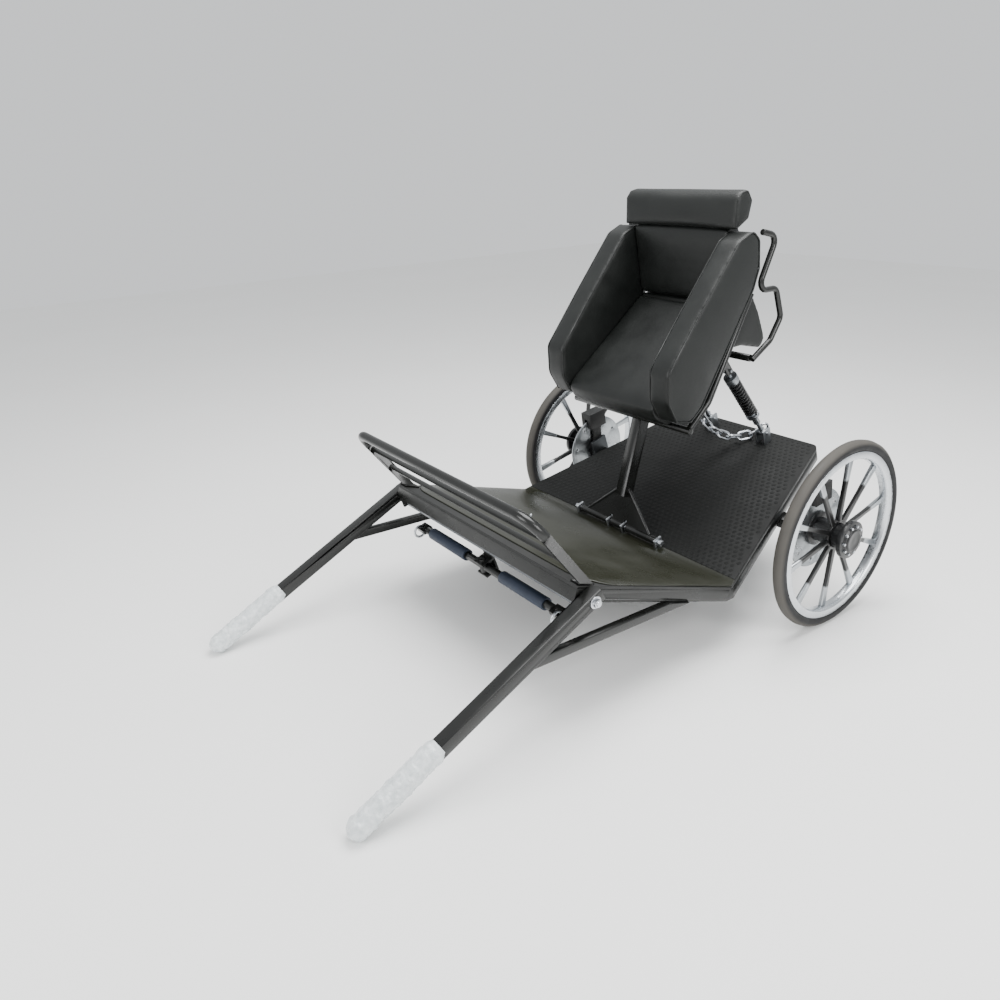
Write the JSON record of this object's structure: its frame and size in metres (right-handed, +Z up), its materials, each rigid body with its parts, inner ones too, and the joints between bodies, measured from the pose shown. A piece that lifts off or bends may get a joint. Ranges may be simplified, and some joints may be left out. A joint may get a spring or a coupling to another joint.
{
  "type": "single-seat two-wheeled horse cart",
  "caption": "Low pony cart with a padded bucket seat on a hinged, sprung post, a slatted dash rail, film-wrapped shaft ends, a swingletree and spoked wheels with disc brakes.",
  "frame": {"origin": "on the floor under the middle of the overall length and width, with the cart parked on its wheels and shaft tips", "axes": "-Y forward to the shaft tips, +X to the driver's left, +Z up"},
  "size_m": [1.264, 1.9338, 1.2904],
  "materials": {
    "black_steel": "gloss black powder coat",
    "grey_steel": "satin grey",
    "dark_steel": "satin black primer",
    "bright_steel": "bright zinc plate",
    "damper_steel": "satin plated tube",
    "spring_steel": "black coated wire",
    "plywood": "painted board",
    "coin_mat": "moulded studs",
    "olive_covering": "smooth satin sheet",
    "cardboard": "matt",
    "packing_film": "crumpled clear film",
    "black_casting": "black coated casting",
    "black_vinyl": "embossed vinyl",
    "blue_sleeve": "smooth foam sleeve",
    "grey_tyre": "smooth solid rubber",
    "silver_alloy": "machined silver",
    "black_alloy": "gloss black",
    "black_hub": "satin black",
    "disc_steel": "turned face"
  },
  "bodies": {
    "chassis": {"deck_frame": "black_steel", "deck_board": "plywood", "front_panel": "plywood", "rear_mat": "coin_mat", "front_covering": "olive_covering", "dash_rail": "black_steel", "front_bar": "grey_steel", "left_shaft": "black_steel", "right_shaft": "black_steel", "left_shaft_tip": "cardboard", "right_shaft_tip": "cardboard", "left_tip_wrap": "packing_film", "right_tip_wrap": "packing_film", "left_brace": "black_steel", "right_brace": "black_steel", "shaft_bolts": "bright_steel", "axle_beam": "black_steel", "left_stub_axle": "dark_steel", "right_stub_axle": "dark_steel", "left_caliper": "black_casting", "right_caliper": "black_casting", "seat_hinge": "grey_steel", "seat_post": "black_steel", "seat_frame": "black_steel", "left_grab_loops": "black_steel", "right_grab_loops": "black_steel", "seat_cushion": "black_vinyl", "left_bolster": "black_vinyl", "right_bolster": "black_vinyl", "seat_back": "black_vinyl", "headrest": "black_vinyl", "rear_pad": "black_vinyl", "shock_absorbers": "damper_steel", "shock_springs": "spring_steel", "limit_chain": "bright_steel", "deck_fitting": "bright_steel", "swingletree_bracket": "black_steel"},
    "left_wheel": {"left_tyre": "grey_tyre", "left_rim": "silver_alloy", "left_spokes": "black_alloy", "left_hub": "black_hub", "left_brake_disc": "disc_steel"},
    "right_wheel": {"right_tyre": "grey_tyre", "right_rim": "silver_alloy", "right_spokes": "black_alloy", "right_hub": "black_hub", "right_brake_disc": "disc_steel"},
    "swingletree": {"swingletree_bar": "black_steel", "swingletree_sleeves": "blue_sleeve", "trace_rings": "bright_steel"}
  },
  "joints": [
    {"name": "left_wheel_spin", "type": "hinge", "parent": "chassis", "child": "left_wheel", "pos_m": [0.58, 0.66386, 0.3], "axis": [1, 0, 0], "continuous": true},
    {"name": "right_wheel_spin", "type": "hinge", "parent": "chassis", "child": "right_wheel", "pos_m": [-0.58, 0.66386, 0.3], "axis": [1, 0, 0], "continuous": true},
    {"name": "swingletree_pivot", "type": "hinge", "parent": "chassis", "child": "swingletree", "pos_m": [0, -0.24851, 0.26507], "axis": [0, -0.3239, 0.9461], "range_deg": [-12, 12]}
  ]
}
